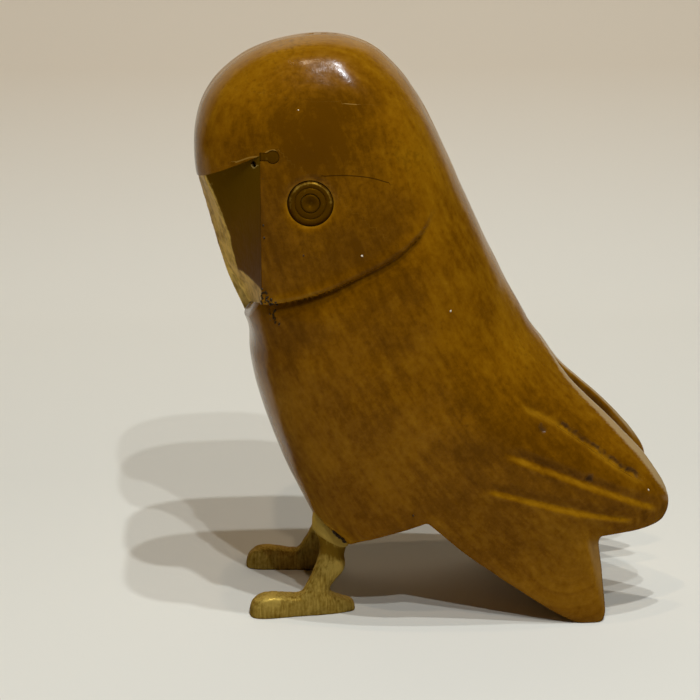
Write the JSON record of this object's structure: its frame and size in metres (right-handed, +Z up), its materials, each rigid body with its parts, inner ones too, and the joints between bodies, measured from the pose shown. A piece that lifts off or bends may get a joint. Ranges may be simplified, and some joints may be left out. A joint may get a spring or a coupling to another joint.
{
  "type": "wooden owl figurine",
  "caption": "Carved wooden owl standing on cast brass legs and its tail, with folded wings, a brass beak wedge and inset brass disc eyes, for display on a shelf.",
  "frame": {"origin": "on the surface it stands on, at the middle of the overall box in X and Y", "axes": "+Z up, the owl faces -Y, +X is the owl's left side"},
  "size_m": [0.0636, 0.128, 0.1556],
  "materials": {
    "varnished_wood": "stained and varnished, satin",
    "polished_brass": "filed and dulled with age",
    "cast_brass": "rough cast, filed on the soles"
  },
  "bodies": {
    "root": {"body": "varnished_wood", "beak": "polished_brass", "beak_key_left": "polished_brass", "beak_key_right": "polished_brass", "eye_cap_left": "polished_brass", "eye_cap_right": "polished_brass", "pupil_left": "polished_brass", "pupil_right": "polished_brass", "leg_left": "cast_brass", "leg_right": "cast_brass"}
  },
  "joints": []
}
